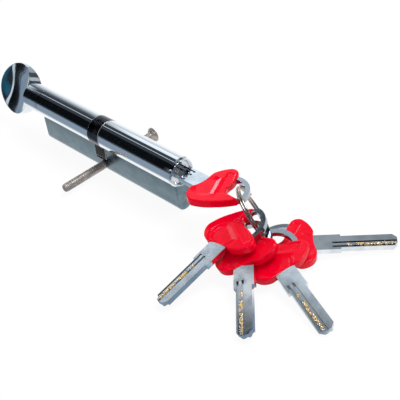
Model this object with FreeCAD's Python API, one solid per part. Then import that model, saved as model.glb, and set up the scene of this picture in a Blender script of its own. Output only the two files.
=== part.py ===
import FreeCAD, Part
import math
import os

# Thumb-turn euro profile lock cylinder with a key in it and a ring of four spare keys.
# Millimetres, +Z up. The origin is on the plug axis in the middle of the cam:
# +X points out of the key end, the fixing screw runs along Y, and the leg points down.

V = FreeCAD.Vector
X_AXIS = V(1, 0, 0)
Y_AXIS = V(0, 1, 0)
Z_AXIS = V(0, 0, 1)
ORIGIN = V(0, 0, 0)

# Cylinder body
key_end_x = 65.0
knob_end_x = -55.0
barrel_r = 8.5
leg_width = 10.0
profile_height = 33.0
edge_chamfer = 0.4
slot_width = 10.0
slot_reach = 16.0
rotor_r = 6.5
running_gap = 0.05
chamfer_wall_share = 0.6
cutter_overrun = 1.0

# Cam and its coupler
cam_side_gap = 0.2
cam_ring_r = 8.6
cam_lobe_r = 15.3
cam_lobe_width = 9.6
cam_lobe_angle = 3.0
tail_r = 5.2
tail_gap = 0.1
tail_length = 3.2
journal_gap = 0.1
lug_r = 6.6
lug_width = 2.9
lug_gap = 0.1
tongue_width = 2.4
tongue_height = 8.0
tongue_length = 1.8
tongue_gap = 0.1
tongue_end_gap = 0.2
coupler_thickness = 3.2
coupler_side_gap = 0.2
coupler_spring_r = 1.9
coupler_spring_wall = 0.6
coupler_spring_length = 4.7
coupler_spring_gap = 0.1

# Plug head and keyway
head_r = 7.7
head_length = 2.1
head_stand_out = 0.9
head_dish_r = 6.4
head_dish_depth = 1.3
head_bevel = 0.7
keyway_gap = 0.08

# Circlips behind the plug and the rotor
circlip_thickness = 0.7
circlip_from_slot = 0.35
circlip_groove_gap = 0.05
circlip_seat_r = 5.9
circlip_outer_r = 7.4
circlip_opening = 60.0
circlip_face_gap = 0.1
circlip_rim_gap = 0.2

# Pin stacks
pin_count = 5
pin_pitch = 4.0
first_pin_from_face = 4.0
pin_r = 1.4
pin_gap = 0.08
shear_gap = 0.05
pin_tip_r = 0.6
pin_tip_length = 0.8
driver_length = 4.2
driver_length_step = 0.25
spring_wall = 0.45
spring_side_gap = 0.05
spring_end_gap = 0.02
chamber_plug_length = 2.4

# Thumb-turn
knob_radius_x = 16.1
knob_radius_w = 15.8
knob_lock_side_thickness = 10.7
knob_outer_thickness = 6.4
knob_web_thickness = 2.6
knob_rest_angle = -28.7
neck_r = 8.2
neck_gap = 0.3
neck_length = 13.0
neck_taper_length = 6.0
neck_taper_r = 3.2
neck_into_paddle = 1.0
rotor_in_knob = 11.0
rotor_end_gap = 0.2
grub_r = 2.0
grub_from_body = 6.0
grub_socket_r = 0.9
grub_socket_depth = 1.4
grub_sunk = 0.2
grub_seat_depth = 1.0
grub_seat_gap = 0.1
grub_thread_gap = 0.02

# Fixing screw
screw_r = 2.5
screw_length = 68.0
screw_head_r = 4.5
screw_head_length = 2.6
screw_tip_chamfer = 0.6
screw_pitch_r = 2.24
screw_thread_gap = 0.02
screw_head_rim = 0.4
screw_free_of_leg = 0.4
screw_recess_width = 1.1
screw_recess_span = 5.0
screw_recess_depth = 1.5
screw_z = -20.0

# Keys: x runs from the tip to the bow, y to the left, z up as they lie, and the
# key's own origin is where the blade enters the bow
blade_thickness = 2.8
blade_width = 8.2
blade_length = 27.6
blade_tip_bevel = 2.2
shoulder_width = 10.6
shoulder_length = 11.8
track_depth = 0.5
track_width = 1.25
outer_track_y = 3.25
inner_track_y = 0.5
track_run_out = 2.0
track_run_out_r = 6.0
dimple_row_y = 1.87
dimple_r = 0.55
dimple_floor_r = 0.22
dimple_depth = 0.45
loop_centre = V(16.0, -1.8, 0)
loop_outer_r = 12.8
loop_inner_r = 10.2
loop_mouth_start = -3.0
loop_mouth_end = 92.0
loop_end_turn = 45.0
loop_end_length = 6.5
loop_end_width = 1.5
blade_into_loop = 1.5
bow_thickness = 4.4
dish_radius = 5.6
dish_depth = 0.35
dish_centre = V(7.4, 1.0, 0)
keyway_end_gap = 0.1

# Where each key rests: place of its origin, then yaw, pitch that lowers the bow, and roll
inserted_key_depth = 24.8
key_rests = {
    "key_1": (V(114.8, -23.35, -10.3), 86.9, -15.1, -7.2),
    "key_2": (V(132.7, -23.3, -14.45), 134.1, -9.0, -19.0),
    "key_3": (V(148.17, -10.91, -17.51), 160.7, -7.0, -9.95),
    "key_4": (V(143.53, 16.48, -19.92), 223.25, -1.55, -3.6),
}

# Split ring: two turns of round wire
ring_centre = V(112.72, 5.11, -8.18)
ring_normal = V(-0.524, -0.726, -0.444)
ring_r = 15.43
ring_wire_r = 0.6
ring_pitch = 1.65
ring_turns = 2

# Sizes that follow from those above
leg_bottom_z = barrel_r - profile_height
half_slot = slot_width / 2
cam_half = half_slot - cam_side_gap
bore_r = rotor_r + running_gap
tail_bore_r = tail_r + tail_gap
keyway_half_y = blade_width / 2 + keyway_gap
keyway_half_z = blade_thickness / 2 + keyway_gap
plug_face_x = key_end_x + head_stand_out
key_tip_x = plug_face_x - inserted_key_depth
inserted_key_x = key_tip_x + blade_length + shoulder_length
pin_row_y = -dimple_row_y
pin_x_list = [key_end_x - first_pin_from_face - i * pin_pitch for i in range(pin_count)]
clip_x = half_slot + circlip_from_slot
clip_room_x = clip_x + circlip_thickness + circlip_face_gap
clip_room_r = circlip_outer_r + circlip_rim_gap
journal_end_x = half_slot + journal_gap
head_back_x = plug_face_x - head_length


def tube(x0, x1, outer_r, inner_r=0.0):
    """Cylinder or tube along X between two stations."""
    body = Part.makeCylinder(outer_r, x1 - x0, V(x0, 0, 0), X_AXIS)
    if inner_r > 0:
        hole = Part.makeCylinder(inner_r, x1 - x0, V(x0, 0, 0), X_AXIS)
        body = body.cut(hole)
    return body


def cone(x0, x1, r0, r1):
    """Cone along X."""
    return Part.makeCone(r0, r1, x1 - x0, V(x0, 0, 0), X_AXIS)


def block(x0, x1, y0, y1, z0, z1):
    """Box between two corners."""
    return Part.makeBox(x1 - x0, y1 - y0, z1 - z0, V(x0, y0, z0))


def upright(x, y, z0, z1, radius):
    """Vertical cylinder between two heights."""
    return Part.makeCylinder(radius, z1 - z0, V(x, y, z0), Z_AXIS)


def outline_prism(edges, z0, z1):
    """Prism over a closed outline of edges drawn at z = 0."""
    face = Part.Face(Part.Wire(edges))
    face.translate(V(0, 0, z0))
    return face.extrude(V(0, 0, z1 - z0))


def body_outline_solid():
    """Outer shape of the body: the barrel with its round-ended leg."""
    leg_r = leg_width / 2
    leg_centre_z = leg_bottom_z + leg_r
    length = key_end_x - knob_end_x
    barrel = tube(knob_end_x, key_end_x, barrel_r)
    leg = block(knob_end_x, key_end_x, -leg_r, leg_r, leg_centre_z, 0)
    toe = Part.makeCylinder(leg_r, length, V(knob_end_x, 0, leg_centre_z), X_AXIS)
    return barrel.fuse(leg).fuse(toe).removeSplitter()


def chamfer_ends(solid):
    """Break the edges all round both end faces."""
    wall = barrel_r - head_r - running_gap
    size = min(edge_chamfer, wall * chamfer_wall_share)
    edges = []
    for edge in solid.Edges:
        box = edge.BoundBox
        flat = box.XLength < 0.001
        at_end = abs(box.XMin - key_end_x) < 0.001 or abs(box.XMin - knob_end_x) < 0.001
        if flat and at_end:
            edges.append(edge)
    return solid.makeChamfer(size, edges)


def chamber(x):
    """Bore of one pin chamber, from the plug bore down through the leg."""
    return upright(x, pin_row_y, leg_bottom_z - cutter_overrun, 0, pin_r + pin_gap)


def make_cylinder_body():
    """Body with both bores, the cam slot over its bridge, the chambers and the screw hole."""
    body = chamfer_ends(body_outline_solid())
    past = barrel_r + cutter_overrun
    body = body.cut(block(-half_slot, half_slot, -past, past, -slot_reach, past))
    bore_start_x = knob_end_x - cutter_overrun
    bore_end_x = key_end_x + cutter_overrun
    body = body.cut(tube(bore_start_x, bore_end_x, bore_r))
    body = body.cut(tube(head_back_x - running_gap, bore_end_x, head_r + running_gap))
    body = body.cut(tube(-clip_room_x, clip_room_x, clip_room_r))
    for x in pin_x_list:
        body = body.cut(chamber(x))
    hole_r = screw_pitch_r + screw_thread_gap
    hole_length = leg_width + 2 * cutter_overrun
    screw_hole = Part.makeCylinder(hole_r, hole_length, V(0, -hole_length / 2, screw_z), Y_AXIS)
    return body.cut(screw_hole)


def circlip_groove(sign):
    """Material that the circlip groove takes out of the plug or rotor."""
    x0 = clip_x - circlip_groove_gap
    x1 = clip_x + circlip_thickness + circlip_groove_gap
    if sign < 0:
        x0, x1 = -x1, -x0
    return tube(x0, x1, rotor_r + cutter_overrun, circlip_seat_r)


def make_circlip(sign):
    """Open ring that keeps the plug or rotor from pulling out of its bore."""
    x0 = clip_x if sign > 0 else -clip_x - circlip_thickness
    x1 = x0 + circlip_thickness
    ring = tube(x0, x1, circlip_outer_r, circlip_seat_r + running_gap)
    mouth_z = circlip_outer_r + cutter_overrun
    half = math.tan(math.radians(circlip_opening / 2)) * mouth_z
    points = [V(x0, 0, 0), V(x0, -half, mouth_z), V(x0, half, mouth_z), V(x0, 0, 0)]
    mouth = Part.Face(Part.makePolygon(points)).extrude(V(circlip_thickness, 0, 0))
    return ring.cut(mouth)


def make_key_plug():
    """Plug with its dished head, keyway, pin holes, circlip groove and slotted tail."""
    plug = tube(journal_end_x, head_back_x, rotor_r)
    plug = plug.fuse(tube(head_back_x, plug_face_x, head_r))
    plug = plug.fuse(tube(half_slot - tail_length, journal_end_x, tail_r))
    dish_x = plug_face_x - head_dish_depth
    plug = plug.cut(tube(dish_x, plug_face_x, head_dish_r))
    plug = plug.cut(cone(plug_face_x - head_bevel, plug_face_x, head_dish_r, head_dish_r + head_bevel))
    keyway_end_x = key_tip_x - keyway_end_gap
    half_y = keyway_half_y
    half_z = keyway_half_z
    plug = plug.cut(block(keyway_end_x, plug_face_x, -half_y, half_y, -half_z, half_z))
    for x in pin_x_list:
        plug = plug.cut(upright(x, pin_row_y, -rotor_r - cutter_overrun, 0, pin_r + pin_gap))
    plug = plug.cut(circlip_groove(1))
    slot_half = tongue_width / 2 + tongue_gap
    tongue_end_x = coupler_thickness / 2 + tongue_length + tongue_end_gap
    slot = block(0, tongue_end_x, -slot_half, slot_half, -rotor_r, rotor_r)
    return plug.cut(slot)


def make_key_pin(x):
    """Key pin with a blunt cone tip under the blade, cut to the plug's surface below."""
    top_z = -keyway_half_z
    cone_base_z = top_z - pin_tip_length
    pin = upright(x, pin_row_y, -rotor_r, cone_base_z, pin_r)
    tip = Part.makeCone(pin_r, pin_tip_r, pin_tip_length, V(x, pin_row_y, cone_base_z), Z_AXIS)
    limit = tube(x - pin_r, x + pin_r, rotor_r - shear_gap)
    return pin.fuse(tip).common(limit).removeSplitter()


def driver_bottom_z(index):
    """Height of the lower end of one driver pin."""
    return -rotor_r - driver_length - driver_length_step * index


def make_driver_pin(index):
    """Driver pin waiting in the body just under the shear line."""
    x = pin_x_list[index]
    pin = upright(x, pin_row_y, driver_bottom_z(index), 0, pin_r)
    reach = pin_r + cutter_overrun
    return pin.cut(tube(x - reach, x + reach, bore_r + shear_gap))


def chamber_plug_top_z():
    """Height of the top of the plugs that close the chambers."""
    return leg_bottom_z + chamber_plug_length


def make_pin_springs():
    """Pin springs, each a sleeve with the spring's outer size and length."""
    springs = []
    outer_r = pin_r - spring_side_gap
    for index in range(pin_count):
        x = pin_x_list[index]
        top_z = driver_bottom_z(index) - spring_end_gap
        bottom_z = chamber_plug_top_z() + spring_end_gap
        sleeve = upright(x, pin_row_y, bottom_z, top_z, outer_r)
        bore = upright(x, pin_row_y, bottom_z, top_z, outer_r - spring_wall)
        springs.append(sleeve.cut(bore))
    return Part.makeCompound(springs)


def make_chamber_plugs():
    """Plugs pressed into the leg under the springs, dressed flush with its round bottom."""
    outline = body_outline_solid()
    plugs = []
    for x in pin_x_list:
        plug = upright(x, pin_row_y, leg_bottom_z, chamber_plug_top_z(), pin_r + pin_gap)
        plugs.append(plug.common(outline))
    return Part.makeCompound(plugs)


def lug_slots(x0, x1, gap):
    """Two drive lugs, above and below the axis, grown by a gap."""
    half = lug_width / 2 + gap
    return block(x0, x1, -half, half, -lug_r - gap, lug_r + gap)


def cam_lobe():
    """Lobe that throws the bolt, hanging down beside the leg's line."""
    half = cam_lobe_width / 2
    lobe = block(-cam_half, cam_half, -half, half, -cam_lobe_r, 0)
    lobe = lobe.common(tube(-cam_half, cam_half, cam_lobe_r))
    lobe.rotate(ORIGIN, X_AXIS, -cam_lobe_angle)
    return lobe


def make_cam():
    """Cam ring and lobe with the slots that the rotor and the coupler drive."""
    cam = tube(-cam_half, cam_half, cam_ring_r).fuse(cam_lobe())
    cam = cam.cut(tube(-cam_half, cam_half, tail_bore_r))
    slots_end_x = coupler_thickness / 2 + lug_gap
    return cam.cut(lug_slots(-cam_half, slots_end_x, lug_gap)).removeSplitter()


def make_coupler():
    """Coupler held to the plug's tail while the key is in."""
    half = coupler_thickness / 2
    disc = tube(-half, half, tail_r - coupler_side_gap)
    lugs = lug_slots(-half, half, 0)
    tongue_half = tongue_width / 2
    tongue_top = tongue_height / 2
    tongue = block(0, half + tongue_length, -tongue_half, tongue_half, -tongue_top, tongue_top)
    return disc.fuse(lugs).fuse(tongue).removeSplitter()


def make_coupler_spring():
    """Spring behind the coupler, a sleeve of its outer size."""
    x1 = -coupler_thickness / 2 - spring_end_gap
    x0 = x1 - coupler_spring_length
    return tube(x0, x1, coupler_spring_r, coupler_spring_r - coupler_spring_wall)


def rotor_end_x():
    """Station of the rotor's outer end, inside the knob's neck."""
    return knob_end_x - neck_gap - rotor_in_knob


def grub_station_x():
    """Station of the knob's grub screw."""
    return knob_end_x - neck_gap - grub_from_body


def make_thumbturn_rotor():
    """Rotor from the cam to the knob, with drive lugs, circlip groove and a grub screw seat."""
    rotor = tube(rotor_end_x(), -journal_end_x, rotor_r)
    tail_x = -half_slot + tail_length
    rotor = rotor.fuse(tube(-journal_end_x, tail_x, tail_r))
    rotor = rotor.fuse(lug_slots(-cam_half + lug_gap, tail_x, 0))
    spring_room_x = -coupler_thickness / 2 - coupler_spring_length - 2 * spring_end_gap
    rotor = rotor.cut(tube(spring_room_x, 0, coupler_spring_r + coupler_spring_gap))
    rotor = rotor.cut(circlip_groove(-1))
    seat_top_z = -rotor_r + grub_seat_depth
    seat = upright(grub_station_x(), 0, -rotor_r - cutter_overrun, seat_top_z, grub_r + grub_seat_gap)
    return rotor.cut(seat).removeSplitter()


def knob_paddle(centre_x):
    """Round paddle, scooped on both faces so that it is thin in the middle."""
    disc = Part.makeCylinder(1.0, 2 * neck_r, V(0, -neck_r, 0), Y_AXIS)
    stretch = FreeCAD.Matrix()
    stretch.scale(knob_radius_x, 1.0, knob_radius_w)
    disc = disc.transformGeometry(stretch)
    disc.translate(V(centre_x, 0, 0))
    x0 = centre_x - knob_radius_x
    x1 = centre_x + knob_radius_x
    web = knob_web_thickness / 2
    outer = knob_outer_thickness / 2
    inner = knob_lock_side_thickness / 2
    near = Part.Arc(V(x0, -outer, 0), V(centre_x, -web, 0), V(x1, -inner, 0)).toShape()
    far = Part.Arc(V(x1, inner, 0), V(centre_x, web, 0), V(x0, outer, 0)).toShape()
    left = Part.makeLine(V(x0, outer, 0), V(x0, -outer, 0))
    right = Part.makeLine(V(x1, -inner, 0), V(x1, inner, 0))
    past = knob_radius_w + cutter_overrun
    scoops = outline_prism([near, right, far, left], -past, past)
    return disc.common(scoops)


def make_thumbturn_knob():
    """Knob cast with its neck, turned as it rests."""
    neck_x = knob_end_x - neck_gap
    neck_end_x = neck_x - neck_length
    centre_x = neck_end_x - knob_radius_x
    knob = knob_paddle(centre_x)
    taper_x = neck_end_x - neck_into_paddle
    knob = knob.fuse(tube(taper_x, neck_x, neck_r))
    taper = Part.makeCone(neck_r, neck_taper_r, neck_taper_length, V(taper_x, 0, 0), V(-1, 0, 0))
    knob = knob.fuse(taper)
    knob.rotate(ORIGIN, X_AXIS, knob_rest_angle)
    seat_end_x = neck_x + cutter_overrun
    knob = knob.cut(tube(rotor_end_x() - rotor_end_gap, seat_end_x, rotor_r + running_gap))
    hole_bottom_z = -neck_r - cutter_overrun
    hole = upright(grub_station_x(), 0, hole_bottom_z, 0, grub_r + grub_thread_gap)
    return knob.cut(hole).removeSplitter()


def make_knob_grub_screw():
    """Socket grub screw that clamps the knob to the rotor."""
    x = grub_station_x()
    bottom_z = -neck_r + grub_sunk
    top_z = -rotor_r + grub_seat_depth - grub_seat_gap
    screw = upright(x, 0, bottom_z, top_z, grub_r)
    socket = upright(x, 0, bottom_z, bottom_z + grub_socket_depth, grub_socket_r)
    return screw.cut(socket)


def make_fixing_screw():
    """Countersunk screw through the bridge, its chamfered tip towards -Y.

    Inside the leg it is drawn at the thread's pitch radius, as is its tapped hole."""
    tip_y = -screw_length / 2
    head_y = screw_length / 2
    point = V(0, tip_y, screw_z)
    tip = Part.makeCone(screw_r - screw_tip_chamfer, screw_r, screw_tip_chamfer, point, Y_AXIS)
    engaged = leg_width / 2 + screw_free_of_leg
    neck_y = head_y - screw_head_length
    rim_y = head_y - screw_head_rim
    screw = tip
    stretches = [
        (tip_y + screw_tip_chamfer, -engaged, screw_r),
        (-engaged, engaged, screw_pitch_r),
        (engaged, neck_y, screw_r),
        (rim_y, head_y, screw_head_r),
    ]
    for y0, y1, radius in stretches:
        screw = screw.fuse(Part.makeCylinder(radius, y1 - y0, V(0, y0, screw_z), Y_AXIS))
    head = Part.makeCone(screw_r, screw_head_r, rim_y - neck_y, V(0, neck_y, screw_z), Y_AXIS)
    screw = screw.fuse(head)
    half = screw_recess_width / 2
    span = screw_recess_span / 2
    recess_y = head_y - screw_recess_depth
    across = block(-span, span, recess_y, head_y, screw_z - half, screw_z + half)
    along = block(-half, half, recess_y, head_y, screw_z - span, screw_z + span)
    return screw.cut(across.fuse(along)).removeSplitter()


def blade_outline():
    """Blade with bevelled tip corners and the wider part behind its shoulders, as edges."""
    tip_x = -shoulder_length - blade_length
    half = blade_width / 2
    wide = shoulder_width / 2
    root_x = loop_centre.x - loop_outer_r + blade_into_loop
    points = [
        V(tip_x, -half + blade_tip_bevel, 0),
        V(tip_x + blade_tip_bevel, -half, 0),
        V(-shoulder_length, -half, 0),
        V(-shoulder_length, -wide, 0),
        V(root_x, -wide, 0),
        V(root_x, wide, 0),
        V(-shoulder_length, wide, 0),
        V(-shoulder_length, half, 0),
        V(tip_x + blade_tip_bevel, half, 0),
        V(tip_x, half - blade_tip_bevel, 0),
    ]
    return Part.makePolygon(points + points[:1]).Edges


def pin_track(y):
    """Cutter for one pin track in the upper face, which runs out in a lens behind the shoulder."""
    top = blade_thickness / 2
    tip_x = -shoulder_length - blade_length
    end_x = -shoulder_length + track_run_out
    half = track_width / 2
    track = block(tip_x, end_x, y - half, y + half, top - track_depth, top)
    wheel_z = top - track_depth + track_run_out_r
    run_out = Part.makeCylinder(track_run_out_r, track_width, V(end_x, y - half, wheel_z), Y_AXIS)
    return track.fuse(run_out)


def blade_cuts():
    """Tracks and coding dimples of one face."""
    cuts = pin_track(outer_track_y).fuse(pin_track(inner_track_y))
    top = blade_thickness / 2
    for x in pin_x_list:
        spot = V(x - inserted_key_x, dimple_row_y, top - dimple_depth)
        cuts = cuts.fuse(Part.makeCone(dimple_floor_r, dimple_r, dimple_depth, spot, Z_AXIS))
    return cuts


def loop_point(radius, angle):
    """Point at a radius and angle round the loop's centre."""
    turn = math.radians(angle)
    return loop_centre + V(radius * math.cos(turn), radius * math.sin(turn), 0)


def make_loop():
    """Loop, open where the bow's point covers it, with its free end bent into that point."""
    half = blade_thickness / 2
    base = V(loop_centre.x, loop_centre.y, -half)
    loop = Part.makeCylinder(loop_outer_r, blade_thickness, base, Z_AXIS)
    loop = loop.cut(Part.makeCylinder(loop_inner_r, blade_thickness, base, Z_AXIS))
    middle = (loop_mouth_start + loop_mouth_end) / 2
    reach = 2 * loop_outer_r
    corners = [
        loop_centre,
        loop_point(reach, loop_mouth_start),
        loop_point(reach, middle),
        loop_point(reach, loop_mouth_end),
        loop_centre,
    ]
    loop = loop.cut(outline_prism(Part.makePolygon(corners).Edges, -half, half))
    band = (loop_outer_r - loop_inner_r) / 2
    bend = loop_point(loop_inner_r + band, loop_mouth_start)
    end = block(0, loop_end_length, -band, loop_end_width - band, -half, half)
    end = end.fuse(Part.makeCylinder(band, blade_thickness, V(0, 0, -half), Z_AXIS))
    end.rotate(ORIGIN, Z_AXIS, 90 + loop_mouth_start + loop_end_turn)
    end.translate(bend)
    return loop.fuse(end)


def make_key_blank():
    """Steel blank: blade, shoulders and the loop that the ring passes through."""
    half = blade_thickness / 2
    blade = outline_prism(blade_outline(), -half, half)
    blank = blade.fuse(make_loop())
    cuts = blade_cuts()
    under = cuts.copy()
    under.rotate(ORIGIN, X_AXIS, 180)
    return blank.cut(cuts).cut(under).removeSplitter()


def bow_outline():
    """Edge of the plastic bow: two lobes, a point and a notch where the loop shows."""
    arcs = [
        (V(0.4, 4.9, 0), V(2.0, 12.2, 0), V(8.0, 15.0, 0)),
        (V(8.0, 15.0, 0), V(14.0, 12.4, 0), V(18.9, 8.7, 0)),
        (V(18.9, 8.7, 0), V(23.4, 4.7, 0), V(27.0, 0.2, 0)),
        (V(19.4, 0.0, 0), V(16.9, -2.1, 0), V(15.8, -6.4, 0)),
        (V(15.8, -6.4, 0), V(14.6, -11.0, 0), V(12.7, -15.0, 0)),
        (V(12.7, -15.0, 0), V(9.8, -17.3, 0), V(6.8, -17.0, 0)),
        (V(6.8, -17.0, 0), V(3.5, -13.2, 0), V(1.3, -8.0, 0)),
        (V(1.3, -8.0, 0), V(1.6, -1.5, 0), V(0.4, 4.9, 0)),
    ]
    edges = [Part.Arc(*points).toShape() for points in arcs]
    edges.insert(3, Part.makeLine(arcs[2][2], arcs[3][0]))
    return edges


def make_key_bow(blank):
    """Plastic bow moulded round the blank, with a shallow dish in both faces."""
    half = bow_thickness / 2
    bow = outline_prism(bow_outline(), -half, half)
    ball_r = (dish_radius ** 2 + dish_depth ** 2) / (2 * dish_depth)
    for sign in (1, -1):
        centre = dish_centre + V(0, 0, sign * (half - dish_depth + ball_r))
        bow = bow.cut(Part.makeSphere(ball_r, centre))
    return bow.cut(blank.copy())


def place_key(shape, rest):
    """Copy of a key's piece at its resting place."""
    place, yaw, pitch, roll = rest
    moved = shape.copy()
    moved.Placement = FreeCAD.Placement(place, FreeCAD.Rotation(yaw, pitch, roll))
    return moved


def arc_leaving(start, tangent_start, corner, end):
    """Circular arc between two points whose end tangents meet at a corner."""
    chord = end - start
    middle = start + chord * 0.5
    lean = math.acos(max(-1.0, min(1.0, tangent_start.dot(chord) / chord.Length)))
    rise = chord.Length / 2 * math.tan(lean / 2)
    outward = corner - middle
    outward.normalize()
    return Part.Arc(start, middle + outward * rise, end).toShape()


def biarc(start, tangent_start, end, tangent_end):
    """Two tangent arcs from one point and direction to another."""
    span = end - start
    both = tangent_start + tangent_end
    square = 2 * (tangent_start.dot(tangent_end) - 1)
    linear = -2 * span.dot(both)
    constant = span.dot(span)
    root = math.sqrt(linear * linear - 4 * square * constant)
    reach = (-linear - root) / (2 * square)
    corner_start = start + tangent_start * reach
    corner_end = end - tangent_end * reach
    joint = (corner_start + corner_end) * 0.5
    joint_tangent = corner_end - corner_start
    joint_tangent.normalize()
    first = arc_leaving(start, tangent_start, corner_start, joint)
    second = arc_leaving(joint, joint_tangent, corner_end, end)
    return [first, second]


def ring_point(angle):
    """Point and direction on the ring's wire, in the ring's own frame."""
    climb = ring_pitch / (2 * math.pi)
    height = climb * (angle - math.pi * ring_turns)
    point = V(ring_r * math.cos(angle), ring_r * math.sin(angle), height)
    tangent = V(-ring_r * math.sin(angle), ring_r * math.cos(angle), climb)
    tangent.normalize()
    return point, tangent


def least_ring_gap(wire):
    """Smallest clear distance between the turns, on points along the wire."""
    points = wire.discretize(Distance=1.0)
    skip = int(ring_r * math.pi)
    least = 1e9
    for i, point in enumerate(points):
        for other in points[i + skip:]:
            least = min(least, (point - other).Length)
    return least - 2 * ring_wire_r


def ring_placement():
    """Placement of the ring's own frame in the part."""
    level = ring_normal.cross(Z_AXIS)
    steep = ring_normal.cross(level)
    return FreeCAD.Placement(ring_centre, FreeCAD.Rotation(level, steep, ring_normal, "ZXY"))


def make_split_ring():
    """Split ring: one unbroken wire in two turns, with a short straight end at each side."""
    steps = 2 * ring_turns
    stations = [ring_point(math.pi * i) for i in range(steps + 1)]
    first_point, first_tangent = stations[0]
    last_point, last_tangent = stations[-1]
    end_run = 2 * ring_wire_r
    edges = [Part.makeLine(first_point - first_tangent * end_run, first_point)]
    for (p0, t0), (p1, t1) in zip(stations, stations[1:]):
        edges += biarc(p0, t0, p1, t1)
    edges.append(Part.makeLine(last_point, last_point + last_tangent * end_run))
    wire = Part.Wire(edges)
    print("split ring: least gap between turns", round(least_ring_gap(wire), 3), "mm")
    start = first_point - first_tangent * end_run
    section = Part.Wire(Part.makeCircle(ring_wire_r, start, first_tangent))
    shell = Part.BRepOffsetAPI.MakePipeShell(wire)
    shell.add(section)
    shell.build()
    shell.makeSolid()
    ring = shell.shape()
    plain_volume = math.pi * ring_wire_r ** 2 * wire.Length
    print("split ring: volume over section times length", round(ring.Volume / plain_volume, 4))
    ring.Placement = ring_placement()
    return ring


def save(name, shape):
    """Write one node and say how many solids it holds."""
    shape.exportStep("parts/" + name + ".step")
    print(name, len(shape.Solids), "solids", round(shape.Volume, 1), "mm3", shape.isValid())


def main():
    os.makedirs("parts", exist_ok=True)
    save("cylinder_body", make_cylinder_body())
    save("fixing_screw", make_fixing_screw())
    save("key_plug", make_key_plug())
    for index, x in enumerate(pin_x_list):
        save("key_pin_%d" % (index + 1), make_key_pin(x))
        save("driver_pin_%d" % (index + 1), make_driver_pin(index))
    save("pin_springs", make_pin_springs())
    save("chamber_plugs", make_chamber_plugs())
    save("plug_circlip", make_circlip(1))
    save("rotor_circlip", make_circlip(-1))
    save("cam", make_cam())
    save("coupler", make_coupler())
    save("coupler_spring", make_coupler_spring())
    save("thumbturn_rotor", make_thumbturn_rotor())
    save("thumbturn_knob", make_thumbturn_knob())
    save("knob_grub_screw", make_knob_grub_screw())
    blank = make_key_blank()
    bow = make_key_bow(blank)
    rests = dict(key_rests)
    rests["inserted_key"] = (V(inserted_key_x, 0, 0), 0.0, 0.0, 180.0)
    for name, rest in rests.items():
        save(name + "_blank", place_key(blank, rest))
        save(name + "_bow", place_key(bow, rest))
    save("split_ring", make_split_ring())


main()
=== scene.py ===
import math

import bmesh
import bpy
import numpy as np
from mathutils import Euler, Matrix, Vector


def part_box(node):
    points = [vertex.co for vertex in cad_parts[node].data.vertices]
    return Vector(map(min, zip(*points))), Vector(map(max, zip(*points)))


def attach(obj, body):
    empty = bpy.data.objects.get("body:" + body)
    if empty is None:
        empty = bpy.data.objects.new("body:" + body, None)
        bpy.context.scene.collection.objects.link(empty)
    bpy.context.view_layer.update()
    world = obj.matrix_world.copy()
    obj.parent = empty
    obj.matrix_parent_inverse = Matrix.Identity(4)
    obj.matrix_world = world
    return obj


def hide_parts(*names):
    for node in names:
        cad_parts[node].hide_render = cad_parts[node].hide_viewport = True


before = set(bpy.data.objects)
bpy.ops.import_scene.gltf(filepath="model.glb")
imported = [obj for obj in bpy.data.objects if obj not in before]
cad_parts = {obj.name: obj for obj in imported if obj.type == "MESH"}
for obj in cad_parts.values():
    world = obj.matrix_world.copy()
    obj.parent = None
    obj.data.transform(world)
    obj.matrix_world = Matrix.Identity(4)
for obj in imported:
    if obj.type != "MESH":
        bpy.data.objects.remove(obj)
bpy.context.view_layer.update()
print("frame loaded:", len(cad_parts), "nodes")

mm = 0.001

# Where each key lies: place of its origin in mm, then yaw, pitch and roll in degrees
keyRests = {
    "inserted_key": ((80.5, 0.0, 0.0), 0.0, 0.0, 180.0),
    "key_1": ((114.8, -23.35, -10.3), 86.9, -15.1, -7.2),
    "key_2": ((132.7, -23.3, -14.45), 134.1, -9.0, -19.0),
    "key_3": ((148.17, -10.91, -17.51), 160.7, -7.0, -9.95),
    "key_4": ((143.53, 16.48, -19.92), 223.25, -1.55, -3.6),
}


def keyMatrix(name):
    place, yaw, pitch, roll = keyRests[name]
    turn = Euler((math.radians(roll), math.radians(pitch), math.radians(yaw)), "XYZ")
    return Matrix.Translation(Vector(place) * mm) @ turn.to_matrix().to_4x4()


# Camera
cameraSetup = {
    "place": (0.3907, -0.2496, 0.2869),
    "right": (0.6863, 0.7174, -0.1198),
    "down": (0.3700, -0.4861, -0.7917),
    "lens": 85.37,
    "sensor": 36.0,
    "clipStart": 0.01,
}


def makeCamera(setup):
    data = bpy.data.cameras.new("photoCamera")
    data.lens = setup["lens"]
    data.sensor_width = setup["sensor"]
    data.clip_start = setup["clipStart"]
    camera = bpy.data.objects.new("photoCamera", data)
    right = Vector(setup["right"]).normalized()
    up = -Vector(setup["down"])
    back = right.cross(up).normalized()
    up = back.cross(right)
    pose = Matrix((right, up, back)).transposed().to_4x4()
    pose.translation = Vector(setup["place"])
    camera.matrix_world = pose
    bpy.context.scene.collection.objects.link(camera)
    bpy.context.scene.camera = camera


makeCamera(cameraSetup)
print("camera placed")


# Where nodes stand in the editor: columns to the right, in rows that step down
nodeGrid = {"start": -1200, "step": 190, "drop": 140, "rows": 5}


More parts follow.
